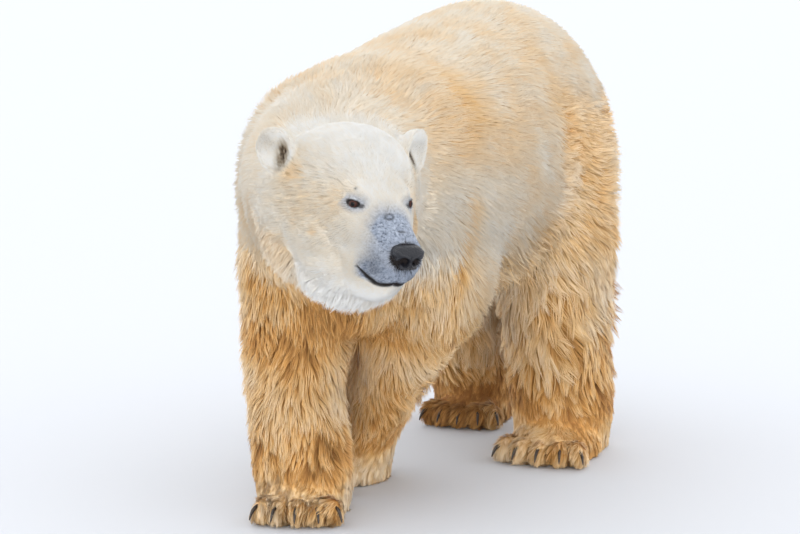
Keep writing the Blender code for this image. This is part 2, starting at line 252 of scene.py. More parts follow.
# The face's folds: the closed mouth, the seat of the nose pad and the groove below it. The mouth's line
# is given for the right side, in the head's axes; the left side is its mirror image.
LIP_LINE = ((0.104, 0.0, -0.124), (0.096, -0.014, -0.129), (0.083, -0.029, -0.129), (0.064, -0.040, -0.124),
            (0.050, -0.045, -0.119), (0.036, -0.049, -0.114))
NOSE_SEAT = np.array((0.022, 0.031, 0.024))  # half sizes of the bare place under the pad
EYE_RADIUS = 0.0135
EYES = {}  # for each eye, its middle, the way it looks, the way to its inner corner, and its own up
for side, sign in SIDES:
    gaze = unit(np.array((0.70, 0.70 * sign, 0.08)) @ HEAD_AXES)
    inner = unit(np.cross(gaze, HEAD_AXES[2]) * sign)
    rise = np.cross(gaze, inner) * -sign
    EYES[side] = (np.array(middle_of("eye_" + side)), gaze, unit(inner + 0.10 * rise), rise)


def folded(local):
    """Places of the head with those of its left side turned over to the right."""
    return np.stack([local[:, 0], -np.abs(local[:, 1]), local[:, 2]], axis=1)


def off_path(local, path):
    """Each place's distance from a path of straight runs, and its height above the path's nearest point."""
    local = folded(local)
    nearest = np.full(len(local), np.inf)
    above = np.zeros(len(local))
    path = np.array(path)
    for start, end in zip(path, path[1:]):
        run = end - start
        share = np.clip(((local - start) @ run) / (run @ run), 0, 1)
        away = local - (start + share[:, None] * run)
        gap = np.linalg.norm(away, axis=1)
        above = np.where(gap < nearest, away[:, 2], above)
        nearest = np.minimum(nearest, gap)
    return nearest, above


def split_near(spots, reach):
    """Subdivide the skin's triangles that lie near any of these places of the head."""
    choose(skin)
    bpy.ops.object.mode_set(mode="EDIT")
    bpy.ops.mesh.select_all(action="DESELECT")
    bpy.ops.object.mode_set(mode="OBJECT")
    middles = in_head(vertex_rows(skin.data, "co")[corners_of(skin.data)].mean(1))
    close = np.zeros(len(middles), bool)
    for spot in spots:
        close |= distance(middles, spot) < reach
    skin.data.polygons.foreach_set("select", close)
    bpy.ops.object.mode_set(mode="EDIT")
    bpy.ops.mesh.subdivide(number_cuts=1)
    bpy.ops.mesh.select_all(action="SELECT")
    bpy.ops.mesh.quads_convert_to_tris()
    bpy.ops.object.mode_set(mode="OBJECT")


split_near([np.array((0.05, 0, -0.06))], 0.105)  # the whole muzzle
mouth = [np.array(spot) for spot in LIP_LINE]
mouth += [spot * np.array((1, -1, 1)) for spot in mouth]
split_near(mouth + [in_head(eye[0][None])[0] for eye in EYES.values()], 0.020)

where = vertex_rows(skin.data, "co")
local = in_head(where)
gap, above = off_path(local, LIP_LINE)
push = -0.0045 * peak(gap, 0, 0.0022)  # the slit of the mouth, then the upper and the lower lip
push += 0.0018 * peak(gap, 0.007, 0.005) * (above > 0)
push += 0.0012 * peak(gap, 0.005, 0.004) * (above < 0)
nose_gap = np.linalg.norm((local - NOSE_AT) / NOSE_SEAT, axis=1)
push -= 0.0035 * (1 - ramp(nose_gap, 0.95, 1.15))
push += 0.0015 * peak(nose_gap, 1.3, 0.12)
groove = peak(local[:, 1], 0, 0.0016) * ramp(local[:, 2], -0.086, -0.092) * ramp(local[:, 0], 0.09, 0.10)
push -= 0.0025 * groove
put_places(skin.data, where + vertex_rows(skin.data, "normal") * push[:, None])

# Lids: folds of the skin that wrap each eyeball, black and nearly bare at the rim. Rings of points follow
# the eyeball out from the slit, and the last two run back under the skin, which hides their edge.
AROUND = 48  # points round each ring
LID_HALF_WIDTH, LID_RISE, LID_DROP = 0.0130, 0.0078, 0.0062
LID_RINGS = ((0.90, -0.0008), (1.0, 0.0006), (1.10, 0.0019), (1.22, 0.0016), (1.45, 0.0005))  # size, lift
HIDDEN_RINGS = ((1.75, -0.0005), (2.1, 0.0016))  # size, depth under the skin


def lid_ring(eye, roundness, wide, tall):
    """Offsets from the eyeball's middle to the slit's outline, made wider and taller."""
    inner, rise = eye[2:]
    for k in range(AROUND):
        turn = 2 * math.pi * k / AROUND
        along, high = LID_HALF_WIDTH * math.cos(turn), math.sin(turn)
        high = (LID_RISE if high > 0 else LID_DROP) * math.copysign(abs(high) ** roundness, high)
        yield inner * along * wide + rise * high * tall


def mesh_object(name, where, triangles):
    """A new object from places and triangles."""
    triangles = np.asarray(triangles)
    mesh = bpy.data.meshes.new(name)
    mesh.vertices.add(len(where))
    mesh.vertices.foreach_set("co", np.asarray(where, float).ravel())
    mesh.loops.add(triangles.size)
    mesh.loops.foreach_set("vertex_index", triangles.ravel())
    mesh.polygons.add(len(triangles))
    mesh.polygons.foreach_set("loop_start", np.arange(len(triangles)) * 3)
    mesh.polygons.foreach_set("loop_total", np.full(len(triangles), 3))
    mesh.update()
    mesh.validate()
    thing = bpy.data.objects.new(name, mesh)
    bpy.context.scene.collection.objects.link(thing)
    return thing


skin_places = [Vector(place) for place in vertex_rows(skin.data, "co")]
skin_tree = BVHTree.FromPolygons(skin_places, [tuple(face.vertices) for face in skin.data.polygons])
lid_points, lid_faces = [], []
for side, eye in EYES.items():
    at, gaze, inner, rise = eye
    first = len(lid_points)
    for scale, lift in LID_RINGS:
        for flat in lid_ring(eye, 1.25, scale, scale):
            size = min(float(np.linalg.norm(flat)), EYE_RADIUS * 0.985)
            out = math.sqrt(EYE_RADIUS ** 2 - size ** 2)
            radial = unit(flat + gaze * out)
            lid_points.append(at + radial * (EYE_RADIUS + lift) + (flat - unit(flat) * size))
    for scale, sink in HIDDEN_RINGS:
        for flat in lid_ring(eye, 1.1, scale, scale + 0.35):
            start = at + flat + gaze * 0.05
            hit = skin_tree.ray_cast(Vector(start), Vector(-gaze))[0]
            lid_points.append(np.array(hit if hit else at + flat) - gaze * sink)
    for row in range(len(LID_RINGS) + len(HIDDEN_RINGS) - 1):
        for k in range(AROUND):
            after = (k + 1) % AROUND
            low, high = first + row * AROUND, first + (row + 1) * AROUND
            one, other = (low + after, high + after), (high + after, high + k)
            if side == "right":
                one, other = one[::-1], other[::-1]
            lid_faces += [(low + k, *one), (low + k, *other)]
lids = mesh_object("lids", lid_points, lid_faces)
choose(skin, lids)
bpy.ops.object.join()

choose(skin)
bpy.ops.object.mode_set(mode="EDIT")
bpy.ops.mesh.select_all(action="SELECT")
bpy.ops.uv.smart_project(angle_limit=math.radians(66), island_margin=0.001)
bpy.ops.object.mode_set(mode="OBJECT")
skin.data.uv_layers[0].name = "OFBake"
skin.data.shade_smooth()


def srgb(code):
    """A colour given as sRGB hex, in linear values."""
    parts = [int(code[k:k + 2], 16) / 255 for k in (1, 3, 5)]
    return (*(p / 12.92 if p <= 0.04045 else ((p + 0.055) / 1.055) ** 2.4 for p in parts), 1)


def add_node(tree, kind, inputs=None, stops=None, **settings):
    """Add a node with its settings, the values or links of its inputs, and a colour ramp's stops."""
    node = tree.nodes.new("ShaderNode" + kind)
    for key, value in settings.items():
        setattr(node, key, value)
    for key, value in (inputs or {}).items():
        if isinstance(value, bpy.types.NodeSocket):
            tree.links.new(value, node.inputs[key])
        else:
            node.inputs[key].default_value = value
    if stops:
        elements = node.color_ramp.elements
        while len(elements) < len(stops):
            elements.new(0.5)
        for element, (place, code) in zip(elements, stops):
            element.position = place
            element.color = srgb(code)
    return node


def new_material(name, **settings):
    """A new material with these values on its shader, its node tree and the shader."""
    material = bpy.data.materials.new(name)
    material.use_nodes = True
    shader = material.node_tree.nodes["Principled BSDF"]
    for key, value in settings.items():
        shader.inputs[key.replace("_", " ")].default_value = value
    return material, material.node_tree, shader


# Markings of hide and hair, with some painted shade and light among them: warm is 0 where white, 0.4 cream and
# 0.8 tan; grey and dark run from 0 to 1.
MIDLINE = middle_of("trunk")[0]
PAWS = {}  # for each paw, its middle on the floor and the middles of its claws
for paw in ("fore_paw_left", "fore_paw_right", "hind_paw_left", "hind_paw_right"):
    claw_middles = np.array([middle_of(f"{paw}_claw_{k}") for k in range(1, 6)])
    PAWS[paw] = (np.array(middle_of(paw)) * (1, 1, 0), claw_middles)
# Strength, place on the head and reach of each stain, scar and darker patch, on both sides alike.
YELLOW_STAINS = (
    (0.30, (-0.150, -0.115, 0.020), 0.035), (0.25, (-0.115, -0.116, -0.060), 0.040),
    (0.40, (-0.064, -0.099, -0.078), 0.009), (0.22, (-0.06, -0.085, -0.02), 0.07))
WHISKER_PADS = ((0.40, (0.094, -0.041, -0.102), 0.028), (0.15, (0.055, -0.046, -0.104), 0.020))
SCARS = ((1.0, (0.110, -0.002, -0.030), 0.004), (0.8, (-0.004, -0.051, 0.024), 0.003))
RING_SCAR_AT, RING_SCAR_RADIUS = np.array((0.062, -0.008, -0.015)), 0.008
WHISKER_ROWS, WHISKERS_IN_ROW, WHISKER_STEP, ROW_STEP = 5, 7, 0.0095, 0.0062


def ripple(where, size, seed):
    """A smooth random value from about -1 to 1 that changes over the given size."""
    draws = np.random.default_rng(seed)
    total = 0
    for _ in range(6):
        heading = unit(draws.normal(size=3)) * 2 * math.pi / (size * draws.uniform(0.7, 1.5))
        total = total + np.sin(where @ heading + draws.uniform(0, 2 * math.pi))
    return total / 2.4


def near(local, *patches):
    """The sum of patches on the head and its mirror image, each a strength, a place and a reach."""
    right = folded(local)
    return sum(strength * peak(distance(right, place), 0, reach) for strength, place, reach in patches)


def right_hind(where):
    """1 on the right hind leg, 0 elsewhere."""
    return ramp(MIDLINE - where[:, 0], 0.0, 0.05) * ramp(where[:, 1], 0.25, 0.35)


def body_warmth(where, normals):
    """How warm the coat is on trunk, neck, limbs and paws."""
    height, back = where[:, 2], where[:, 1]
    left = where[:, 0] - MIDLINE
    fore, hind = ramp(back, 0.05, -0.05), ramp(back, 0.15, 0.28)
    thigh = ramp(back, 0.10, 0.30) * ramp(height, 0.94, 0.74)
    low = 0.9 * np.maximum(ramp(height, 0.62, 0.47), ramp(height, 0.66, 0.54) * ramp(back, 0.02, 0.14))
    warm = 0.42 + 0.30 * np.maximum(thigh, low)
    warm += (0.06 - 0.03 * ramp(back, 0.0, 0.3)) * ramp(height, 0.46, 0.20) * ramp(height, 0.06, 0.12)
    # trunk: the golden saddle, the pale neck, the chest, the belly's fringe and the shoulder
    warm += 0.24 * peak(back, -0.12, 0.16) * peak(height, 0.86, 0.07)
    warm -= 0.12 * ramp(back, -0.25, -0.45) * ramp(height, 0.66, 0.80)
    warm += 0.25 * peak(left, 0, 0.15) * peak(back, -0.34, 0.12) * peak(height, 0.45, 0.13)
    warm += 0.12 * peak(back, 0.12, 0.09) * peak(height, 0.50, 0.08)
    shoulder = ramp(left, 0.12, 0.20) * ramp(back, 0.02, -0.08)
    warm -= 0.14 * shoulder * ramp(height, 0.56, 0.62) * ramp(height, 0.80, 0.70)
    # forelegs: the fold behind the elbow, the pale outer face, the bands down the leg
    fold = peak(back, -0.215, 0.016) * ramp(height, 0.76, 0.68) * ramp(height, 0.40, 0.48)
    warm += 0.22 * fold * ramp(np.abs(left), 0.10, 0.16)
    outer = ramp(normals[:, 0] * np.sign(left), 0.2, 0.8) * ramp(back, 0.0, -0.2)
    warm -= 0.08 * outer * ramp(height, 0.30, 0.42) * ramp(height, 0.62, 0.50)
    upper = ramp(-left, -0.05, 0.02) * peak(height, 0.54, 0.08) * ramp(back, -0.20, -0.30)
    shin = ramp(-left, -0.02, 0.03) * peak(height, 0.27, 0.05)
    forepaw = ramp(height, 0.24, 0.15) * ramp(height, 0.05, 0.12)
    warm += fore * (0.16 * upper + 0.14 * peak(height, 0.40, 0.05) - 0.06 * shin + 0.19 * forepaw)
    # hind legs: paler at the knee and warmer at the hock; the right one is paler inside, painted light standing
    # in for light thrown up from the floor into its shade, and darker and browner at the paw
    warm += hind * (0.20 * peak(height, 0.16, 0.07) - 0.12 * peak(height, 0.45, 0.07))
    # painted light on the right hind leg's shaded inner side
    painted_light_inside = ramp(normals[:, 0], -0.1, 0.4) * ramp(height, 0.12, 0.20) * ramp(height, 0.50, 0.40)
    return warm + right_hind(where) * (0.28 * ramp(height, 0.15, 0.07) - 0.16 * painted_light_inside)


def head_warmth(local):
    """How warm the coat is on the head: white on crown and ruff, cream on the cheeks, with yellow stains."""
    x, y, z = local.T
    white = np.clip(ramp(z, 0.0, 0.05) + ramp(z, -0.13, -0.18), 0, 1)
    behind = 0.10 * ramp(x, -0.12, -0.22) + 0.28 * ramp(x, -0.10, -0.17) * ramp(z, -0.08, -0.15)
    return 0.16 - 0.12 * white + behind + near(local, *YELLOW_STAINS)


def muzzle_marks(local, normals):
    """How grey and how dark the muzzle is: bridge and sides, black lips with painted shade along the mouth,
    whisker spots, scars, the nose's rim.
    """
    x, y, z = local.T
    bridge = ramp(x, 0.015, 0.075) * ramp(normals @ HEAD_AXES[2], 0.2, 0.8)
    flank = 0.92 * ramp(x, 0.015, 0.110) + 0.8 * ramp(z, -0.080, -0.115) * ramp(x, 0.020, 0.065)
    grey = np.clip(0.70 * bridge + flank, 0, 1) * ramp(z, -0.140, -0.128)
    gap, above = off_path(local, LIP_LINE)
    # The lips are black; their bands are drawn wide, so that they also paint the shade along the mouth's line.
    width = 0.0045 + 0.0085 * ramp(x, 0.045, 0.085)
    lip = (1 - ramp(gap, 0.35 * width, 1.2 * width)) * ramp(x, 0.028, 0.042)
    lower_lip = 0.95 * (1 - ramp(gap, 0.0090, 0.0140)) * (above < 0) * ramp(x, 0.055, 0.080)
    whiskers = near(local, *WHISKER_PADS)
    for row in range(WHISKER_ROWS):
        for k in range(WHISKERS_IN_ROW):
            along = 0.045 + WHISKER_STEP * k + 0.003 * (row % 2)
            aside = -0.0505 + 0.13 * max(along - 0.055, 0)
            high = -0.092 - ROW_STEP * row - 0.10 * (along - 0.045)
            whiskers = whiskers + near(local, (0.85, (along, aside, high), 0.0021))
    ring = 0.60 * peak(distance(local, RING_SCAR_AT), RING_SCAR_RADIUS, 0.0028)
    scars = near(local, *SCARS) + ring
    rim = 1 - ramp(np.linalg.norm((local - NOSE_AT) / NOSE_SEAT, axis=1), 0.96, 1.06)
    return grey, np.clip(np.maximum.reduce([lip, lower_lip, scars, rim, whiskers]), 0, 1)


def eye_marks(where):
    """How grey and how dark the skin is round the eyes: grey skin spread wide and a little upward, partly
    painted shade under the brow, and a dark patch at each inner corner, the tear duct with painted shade in the
    corner.
    """
    grey, dark = np.zeros(len(where)), np.zeros(len(where))
    for at, gaze, inner, rise in EYES.values():
        away = where - at
        across, tall = away @ inner, away @ rise
        close = (away @ gaze > 0) & (distance(where, at) < 0.06)
        gap = np.sqrt(((across - 0.001) / 0.0160) ** 2 + ((tall - 0.0015) / 0.0080) ** 2)
        duct_and_corner_shade = np.sqrt(((across - 0.020) / 0.009) ** 2 + ((tall + 0.001) / 0.005) ** 2)
        # grey bare skin round the eye, spread wide and up as painted shade under the brow
        grey = np.maximum(grey, 0.70 * (1 - ramp(gap, 1.0, 3.0)) * close)
        dark = np.maximum(dark, (1 - ramp(gap, 0.90, 1.15)) * close)
        # the tear duct's dark skin, with painted shade in the inner corner
        dark = np.maximum(dark, 0.80 * (1 - ramp(duct_and_corner_shade, 0.5, 1.2)) * close)
    return grey, dark


def ear_cup(where, normals, side, sign):
    """How dark the inside of one ear is: bare dark skin at its core, and painted shade over the wider hollow of
    the cup.
    """
    facing = unit(np.array((0.80, 0.56 * sign, 0.10)) @ HEAD_AXES)
    medial = unit(np.cross(facing, HEAD_AXES[2])) * sign
    away = where - EARS[side] - medial * 0.012 + HEAD_AXES[2] * 0.010
    gap = np.sqrt(((away @ medial) / 0.014) ** 2 + ((away @ HEAD_AXES[2]) / 0.028) ** 2)
    # painted shade over the cup's wider hollow, then the dark bare skin at its core
    cup = 0.38 * (1 - ramp(gap, 0.6, 1.6)) + 0.58 * (1 - ramp(gap, 0.20, 0.95))
    cup = cup * ramp(normals @ facing, 0.1, 0.5) * (distance(where, EARS[side]) < 0.05)
    return cup * np.clip(1 + 0.30 * ripple(where * (1, 1, 0.3), 0.006, 12), 0, 1.3)


def toe_creases(where):
    """The dark creases that run back between the toes."""
    creases = np.zeros(len(where))
    for at, claw_middles in PAWS.values():
        for one, other in zip(claw_middles, claw_middles[1:]):
            start = (one + other) / 2
            backward = unit((at - start) * (1, 1, 0))
            away = (where - start) * (1, 1, 0)
            along = away @ backward
            gap = np.linalg.norm(away - along[:, None] * backward, axis=1)
            ends = ramp(along, -0.02, 0.0) * (1 - ramp(along, 0.020, 0.050)) * ramp(where[:, 2], 0.09, 0.05)
            creases = np.maximum(creases, (1 - ramp(gap, 0.001, 0.005)) * ends)
    return creases


def markings(where, normals):
    """The bear's markings, with the painted shade and light among them: how warm, how grey and how dark hide
    and hair are at each place.
    """
    local = in_head(where)
    from_middle = distance(local, HEAD_MIDDLE)
    nape = peak(from_middle, 0.225, 0.03) * ramp(local[:, 2], 0.0, 0.06)
    warm = body_warmth(where, normals) - 0.22 * nape
    warm = mix(warm, head_warmth(local), 1 - ramp(from_middle, 0.19, 0.27))
    grey, dark = (np.maximum(*pair) for pair in zip(muzzle_marks(local, normals), eye_marks(where)))
    for side, sign in SIDES:
        cup = ear_cup(where, normals, side, sign)
        warm = np.maximum(mix(warm, 0.05, close_to(where, EARS[side], 0.034, 0.050)), 0.6 * cup)
        dark = np.maximum(dark, cup)
    creases = toe_creases(where)
    warm = np.maximum(warm, creases)
    # the right hind paw darker and browner low down
    darker_right_hind_paw = 0.22 * right_hind(where) * ramp(where[:, 2], 0.16, 0.06)
    return np.stack([warm, grey, np.maximum.reduce([dark, 0.55 * creases, darker_right_hind_paw])], axis=1)


def keep_markings(mesh, where, marks, strand):
    """Store at each vertex its root's place, its markings, and how far along its hair it is, shade and gap."""
    for key, rows in (("root", where), ("marks", marks), ("strand", strand)):
        layer = mesh.attributes.new(key, "FLOAT_VECTOR", "POINT")
        layer.data.foreach_set("vector", rows.astype(np.float32).ravel())


def hide_and_hair(name, **settings):
    """The material of hide or hair: cream to tan by the markings, mottled, with grey and black places."""
    material, tree, shader = new_material(name, Specular_IOR_Level=0.25, **settings)
    stored = [add_node(tree, "Attribute", attribute_name=key) for key in ("root", "marks", "strand")]
    root = stored[0].outputs["Vector"]
    marks, strand = (
        add_node(tree, "SeparateXYZ", {"Vector": node.outputs["Vector"]}).outputs for node in stored[1:])

    def scaled(value, new, old=(0.0, 1.0)):
        """The value, moved from between its old ends to between the new ones."""
        ends = dict(zip(("From Min", "From Max", "To Min", "To Max"), (*old, *new)))
        return add_node(tree, "MapRange", {"Value": value, **ends}).outputs[0]

    def combined(operation, one, other):
        return add_node(tree, "Math", {0: one, 1: other}, operation=operation).outputs[0]

    def mixed(share, one, other, **settings):
        return add_node(tree, "Mix", {0: share, 6: one, 7: other}, data_type="RGBA", **settings).outputs[2]

    # Uneven yellowing in patches about 125 mm across, weaker where the coat is white.
    patches = add_node(tree, "TexNoise", {"Vector": root, "Scale": 8.0, "Detail": 4.0, "Roughness": 0.62})
    patches = scaled(patches.outputs["Fac"], (-0.24, 0.24), (0.3, 0.7))
    patches = combined("MULTIPLY", patches, scaled(marks["X"], (0.25, 1.0), (0.0, 0.4)))
    # Each tuft has its own shade; roots and the gaps between locks are warmer and tips paler, as painted shade
    # deep in the coat and painted light on the tips.
    streaks = scaled(strand["Y"], (-0.09, 0.09))
    rooted = scaled(strand["X"], (0.26, -0.12))
    deep = combined("ADD", rooted, combined("MULTIPLY", strand["Z"], 0.38))
    deep = combined("MULTIPLY", deep, scaled(marks["X"], (0.2, 1.0), (0.0, 0.9)))
    warm = marks["X"]
    for term in (patches, streaks, deep):
        warm = combined("ADD", warm, term)
    colour = add_node(tree, "ValToRGB", {"Fac": combined("MULTIPLY", warm, 0.77)}, stops=(
        (0.00, "#F9F8F4"), (0.12, "#F7F0E3"), (0.27, "#F5E7D0"), (0.42, "#F5DCB8"),
        (0.58, "#F4D09C"), (0.70, "#EFC07F"), (0.77, "#E2A85F"), (1.00, "#B27A3E")))
    # The grey skin shows between the muzzle's short hairs, drawn coarser than they are, about 4 mm apart.
    specks = add_node(tree, "TexNoise", {"Vector": root, "Scale": 230.0, "Detail": 2.0, "Roughness": 0.7})
    specks = add_node(tree, "ValToRGB", {"Fac": specks.outputs["Fac"]}, stops=(
        (0.36, "#6A7283"), (0.45, "#A5B0C2"), (0.62, "#CCD4E2")))
    colour = mixed(marks["Y"], colour.outputs[0], specks.outputs[0])
    # Dark places are black where the coat is white and dark brown where it is tan: black skin, with painted
    # shade in the ear cups, the inner corners of the eyes and along the mouth.
    colour = mixed(marks["Z"], colour, mixed(marks["X"], srgb("#1B1B1F"), srgb("#4A3524")))
    # Roots and gaps lie in the shade of the hair over them.
    rooted = scaled(strand["X"], (0.90, 1.0), (0.0, 0.6))
    shade = combined("MULTIPLY", rooted, scaled(strand["Z"], (1.0, 0.58)))
    colour = mixed(1.0, colour, shade, blend_type="MULTIPLY")
    tree.links.new(colour, shader.inputs["Base Color"])
    return material


# Hide: thin skin seen only between the hairs, so it is as matt as they are and has no sheen of its own.
skin_at, skin_normals = vertex_rows(skin.data, "co"), vertex_rows(skin.data, "normal")
# Painted shade on the hide: it is coloured as if deep in the coat between locks.
HIDE_STRAND = (0.25, 0.5, 0.40)  # shaded as if low on a hair of middling shade, in a gap
keep_markings(skin.data, skin_at, markings(skin_at, skin_normals), np.tile(HIDE_STRAND, (len(skin_at), 1)))
skin.data.materials.clear()
skin.data.materials.append(hide_and_hair("polar_bear_hide", Roughness=0.55))
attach(skin, "root")
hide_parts(*FLESH)


# Eyes: wet balls, dark brown round a black pupil, each with a clear bulging cornea, loose in its lids. The
# tear film makes them glossy, with a small sharp glint and the iris only just lighter than the rest.
CORNEA_BULGE, CORNEA_EDGE = 0.06, 38  # as a share of the radius, and in degrees from the pupil's middle
wet_eye, tree, shader = new_material("wet_brown_eye", Roughness=0.06, IOR=1.376, Specular_IOR_Level=0.30)
ring = add_node(tree, "Attribute", attribute_name="ring").outputs["Fac"]
colour = add_node(tree, "ValToRGB", {"Fac": ring}, stops=(
    (0.0, "#050404"), (0.16, "#0A0605"), (0.24, "#42241C"), (0.46, "#331C16"), (0.54, "#120C0A"),
    (1.0, "#1A1210")))
tree.links.new(colour.outputs[0], shader.inputs["Base Color"])
for side, (at, gaze, inner, rise) in EYES.items():
    bpy.ops.mesh.primitive_uv_sphere_add(segments=48, ring_count=36, radius=EYE_RADIUS)
    ball = bpy.context.object
    ball.name = "eyeball_" + side
    spots = vertex_rows(ball.data, "co")
    polar = np.degrees(np.arccos(np.clip(spots[:, 2] / EYE_RADIUS, -1, 1)))
    spots = spots * (1 + CORNEA_BULGE * (1 - ramp(polar, 0, CORNEA_EDGE)))[:, None]
    turn = Vector(gaze).to_track_quat("Z", "Y").to_matrix()
    put_places(ball.data, spots @ np.array(turn).T + at)
    ring = ball.data.attributes.new("ring", "FLOAT", "POINT")  # 0 at the pupil's middle, 1 at the sides
    ring.data.foreach_set("value", (polar / 90).astype(np.float32))
    ball.data.shade_smooth()
    ball.data.materials.append(wet_eye)
    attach(ball, "root")
    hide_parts("eye_" + side)


# Nose pad: bare black leather, pebbled and faintly damp, with a comma-shaped nostril on each side and a
# groove between. It is a rounded block, narrower below, that grows from the end of the muzzle.
NOSE_HALF_SIZES = np.array((0.0225, 0.0302, 0.0230))
NOSE_SQUARENESS = 3.6  # 2 would be an egg
NOSTRIL_HALF_SIZES = np.array((1, 0.0118, 0.0100))
NOSTRIL = ((0.0, -0.0138, -0.0060), (0.0, -0.0175, -0.0035), (0.0, -0.0235, -0.0030), (0.0, -0.0300, 0.0020))
bpy.ops.mesh.primitive_uv_sphere_add(segments=128, ring_count=96, radius=1)
nose = bpy.context.object
nose.name = "nose_pad"
spots = vertex_rows(nose.data, "co")
spots = spots / (np.abs(spots) ** NOSE_SQUARENESS).sum(1)[:, None] ** (1 / NOSE_SQUARENESS)
spots[:, 1] *= 1 - 0.42 * ramp(spots[:, 2], 0.25, -1.0)
spots[:, 0] -= 0.30 * ramp(spots[:, 2], 0.25, 1.0) * (spots[:, 0] > 0) * spots[:, 0]
outward = unit(spots)
spots = spots * NOSE_HALF_SIZES
face_on = folded(spots * (0, 1, 1))
hole = np.linalg.norm((face_on - NOSTRIL[0]) / NOSTRIL_HALF_SIZES, axis=1)
slit = off_path(face_on, NOSTRIL)[0]
ahead = ramp(spots[:, 0], -0.004, 0.004)
push = -0.0200 * (1 - ramp(hole, 0.55, 1.15)) * ahead
push = np.minimum(push, -0.0065 * peak(slit, 0, 0.0026) * ahead)
push -= 0.0018 * peak(spots[:, 1], 0, 0.0011) * ramp(spots[:, 2], 0.010, 0.0) * ahead
push += 0.0026 * peak(np.minimum(slit, hole * 0.0100), 0.0112, 0.0025) * ahead  # the nostrils' raised rims
spots = spots + outward * push[:, None] * (1.0, 0.6, 0.6)
put_places(nose.data, HEAD_AT + (spots + NOSE_AT) @ HEAD_AXES)
nose.data.shade_smooth()
leather, tree, shader = new_material(
    "black_nose_leather", Base_Color=srgb("#10121A"), Roughness=0.38, Specular_IOR_Level=0.42)
spot = add_node(tree, "TexCoord").outputs["Object"]
pebbles = add_node(tree, "TexVoronoi", {"Vector": spot, "Scale": 300.0})  # about 3 mm, drawn coarse
bump = add_node(tree, "Bump", {
    "Height": pebbles.outputs["Distance"], "Strength": 0.8, "Distance": 0.0012}, invert=True)
tree.links.new(bump.outputs[0], shader.inputs["Normal"])
nose.data.materials.append(leather)
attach(nose, "root")
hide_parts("nose")


# Claws: short curved horn, near black, five on each paw, growing out of the toes. The horn is worn smooth,
# with a dull gloss and lighter streaks about 6 mm wide.
CLAW_SCALE, CLAW_BASE = 0.82, 0.016  # of its CAD solid's size, about a point this far behind its middle
horn, tree, shader = new_material("dark_claw_horn", Roughness=0.35)
spot = add_node(tree, "TexCoord").outputs["Object"]
grain = add_node(tree, "TexNoise", {"Vector": spot, "Scale": 160.0, "Detail": 4.0})
colour = add_node(tree, "ValToRGB", {"Fac": grain.outputs["Fac"]}, stops=(
    (0.35, "#1D1814"), (0.7, "#4A3D33")))
tree.links.new(colour.outputs[0], shader.inputs["Base Color"])
for paw, (paw_at, claw_middles) in PAWS.items():
    nodes = [f"{paw}_claw_{k}" for k in range(1, 6)]
    copies = [merged_copy(node) for node in nodes]
    choose(*copies)
    bpy.ops.object.join()
    claws = copies[0]
    claws.name = paw.replace("paw", "claws")
    spots = vertex_rows(claws.data, "co")
    for middle in claw_middles:
        own = distance(spots, middle) < 0.035
        base = unit((paw_at - middle) * (1, 1, 0)) * CLAW_BASE
        spots[own] = middle + base + (spots[own] - middle - base) * CLAW_SCALE
    put_places(claws.data, spots)
    apply_modifier(claws, "SUBSURF", levels=2, render_levels=2)
    claws.data.shade_smooth()
    claws.data.materials.append(horn)
    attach(claws, "root")
    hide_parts(*nodes)


# Coat: clear hollow hairs, yellowed by age, short and sleek on head and trunk, long and in pointed locks
# on legs, thighs and belly. It grows from the hide in thin overlapping tufts that lie along the body;
# each tuft is a narrow ridged blade, and neighbours lean together into locks.
DRAWS = np.random.default_rng(11)
TUFTS = 392000
HEAD_RADIUS = 0.24  # about the head's middle: tufts within it belong to the head
PATCH_HALF_SIZE = 0.0015  # of each tuft's patch in OFBake
# Metres: how long and wide a tuft is, and how wide a lock; then how far its tufts lean in, up to 1.
LENGTHS = {
    "back": 0.048, "thigh": 0.062, "fore_leg": 0.055, "hind_leg": 0.078, "chest": 0.055, "belly": 0.090,
    "ankle": 0.042, "paw": 0.030, "head": 0.017, "cheek": 0.0075, "snout": 0.0050, "ruff": 0.052, "ear": 0.0085,
    "eyelid": 0.0040}
WIDTHS = {
    "back": 0.0022, "thigh": 0.0024, "fore_leg": 0.0021, "hind_leg": 0.0026, "ankle": 0.0020, "paw": 0.0017,
    "head": 0.0011, "muzzle": 0.0008, "ruff": 0.0013, "ear": 0.0010}
LOCKS = {
    "back": 0.0075, "thigh": 0.010, "fore_leg": 0.0085, "hind_leg": 0.0155, "belly": 0.012, "ankle": 0.010,
    "head": 0.0055, "muzzle": 0.003, "ruff": 0.0065}
LEANS = {
    "back": 0.25, "thigh": 0.60, "fore_leg": 0.64, "hind_leg": 0.85, "chest": 0.70, "belly": 0.50, "paw": 0.60,
    "head": 0.15, "streaks": 0.48, "muzzle": 0.10, "ruff": 0.60}
# The way the hair lies, which then follows the surface: in the frame's axes, and for the ruff in the head's.
LIES = {
    "back": (0.0, 1.0, -0.35), "flank": (0.0, 1.0, -0.80), "thigh": (0.0, 1.0, -0.22),
    "thigh_low": (0.0, 0.55, -1.0), "leg": (0.0, 0.12, -1.0), "neck": (-0.45, 0.80, -0.50),
    "chest": (0.0, -0.10, -1.0), "ruff": (-0.55, 0.0, -0.85)}


def paw_heading(where):
    """The way the nearest paw points, at each place."""
    nearest = np.full(len(where), np.inf)
    heading = np.zeros((len(where), 3))
    for at, claw_middles in PAWS.values():
        gap = np.linalg.norm((where - at) * (1, 1, 0), axis=1)
        ahead = unit((claw_middles[2] - at) * (1, 1, 0))
        heading = np.where((gap < nearest)[:, None], ahead, heading)
        nearest = np.minimum(nearest, gap)
    return heading


